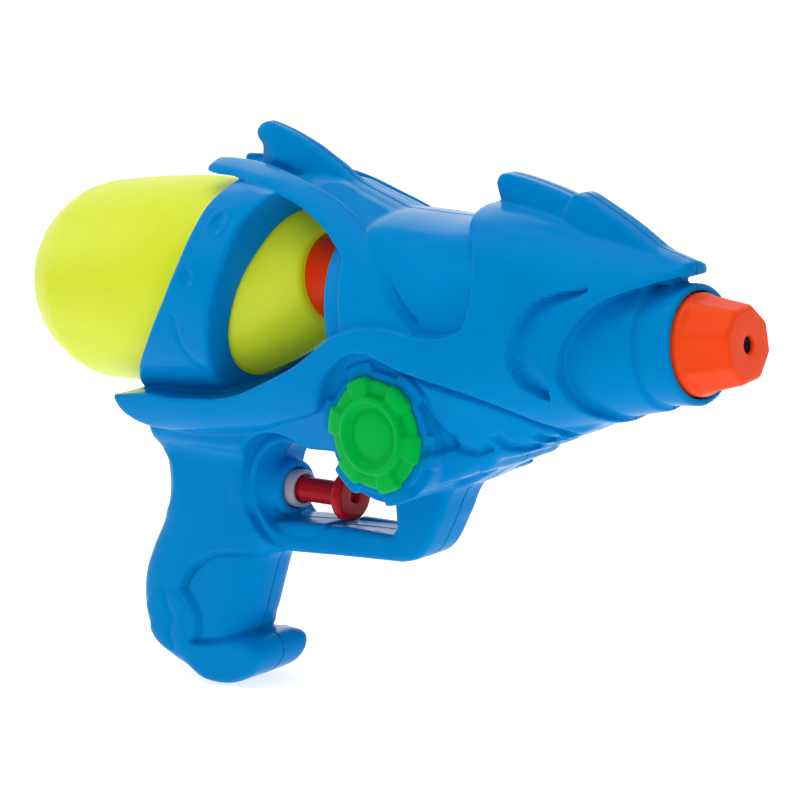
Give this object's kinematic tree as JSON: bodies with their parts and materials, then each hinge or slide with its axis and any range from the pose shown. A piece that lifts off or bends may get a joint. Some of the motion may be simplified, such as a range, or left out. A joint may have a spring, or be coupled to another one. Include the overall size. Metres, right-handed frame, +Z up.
{
  "type": "water squirter",
  "caption": "Hand-pumped toy water squirter: pistol-shaped two-half casing with an open cage holding a bottle tank, push-button pump trigger, side dials and a faceted nozzle.",
  "frame": {"origin": "middle of the hand grip, on the centre plane", "axes": "+X forward along the barrel to the nozzle, +Y to the left side, +Z up"},
  "size_m": [0.222, 0.062, 0.1481],
  "materials": {
    "casing_blue": "semi-gloss moulded plastic",
    "tank_yellow": "satin blow-moulded plastic, slightly translucent",
    "cap_red": "semi-gloss moulded plastic",
    "dial_green": "semi-gloss moulded plastic",
    "nozzle_orange": "semi-gloss moulded plastic",
    "trigger_red": "glossy moulded plastic",
    "pump_grey": "satin moulded plastic",
    "valve_natural": "uncoloured moulded plastic",
    "hose_clear": "soft milky hose",
    "seal_black": "moulded rubber",
    "steel": "bright steel"
  },
  "bodies": {
    "casing": {"casing_right": "casing_blue", "casing_left": "casing_blue", "casing_screw_1": "steel", "casing_screw_2": "steel", "casing_screw_3": "steel", "casing_screw_4": "steel", "casing_screw_5": "steel", "casing_screw_6": "steel", "tank_spout": "valve_natural", "jet_insert": "valve_natural", "nozzle_seal": "seal_black", "pump_cylinder": "pump_grey", "return_spring": "steel", "valve_body": "valve_natural", "inlet_elbow": "valve_natural", "outlet_elbow": "valve_natural", "inlet_spring": "steel", "suction_hose": "hose_clear", "discharge_hose": "hose_clear"},
    "trigger": {"trigger": "trigger_red", "piston_rod": "trigger_red", "piston_seal": "seal_black"},
    "tank_cap": {"tank_cap": "cap_red", "dip_tube": "hose_clear", "cap_o_ring": "seal_black"},
    "tank": {"tank": "tank_yellow", "tank_seal": "seal_black"},
    "dial_right": {"dial_right": "dial_green"},
    "dial_left": {"dial_left": "dial_green"},
    "nozzle": {"nozzle": "nozzle_orange"},
    "inlet_ball": {"inlet_ball": "steel"},
    "outlet_ball": {"outlet_ball": "steel"}
  },
  "joints": [
    {"name": "trigger_pull", "type": "slide", "parent": "casing", "child": "trigger", "axis": [-0.9976, 0, 0.0698], "range_m": [0, 0.011], "stiffness_N_per_m": 400, "springref_m": -0.008, "deforming": ["return_spring"]},
    {"name": "tank_pull", "type": "slide", "parent": "casing", "child": "tank_cap", "axis": [-1, 0, 0], "range_m": [0, 0.115]},
    {"name": "tank_unscrew", "type": "hinge", "parent": "tank_cap", "child": "tank", "pos_m": [0.042, 0, 0.067], "axis": [1, 0, 0], "range_deg": [0, 360]},
    {"name": "dial_right_turn", "type": "hinge", "parent": "casing", "child": "dial_right", "pos_m": [0.0685, -0.0246, 0.0316], "axis": [0, -1, 0], "continuous": true},
    {"name": "dial_left_turn", "type": "hinge", "parent": "casing", "child": "dial_left", "pos_m": [0.0685, 0.0246, 0.0316], "axis": [0, 1, 0], "continuous": true},
    {"name": "nozzle_twist", "type": "hinge", "parent": "casing", "child": "nozzle", "pos_m": [0.147, 0, 0.05], "axis": [1, 0, 0], "continuous": true},
    {"name": "inlet_ball_open", "type": "slide", "parent": "casing", "child": "inlet_ball", "axis": [0, 0, -1], "range_m": [0, 0.001], "stiffness_N_per_m": 20, "springref_m": -0.001, "deforming": ["inlet_spring"]},
    {"name": "outlet_ball_lift", "type": "slide", "parent": "casing", "child": "outlet_ball", "axis": [0, 0, 1], "range_m": [0, 0.001]}
  ]
}
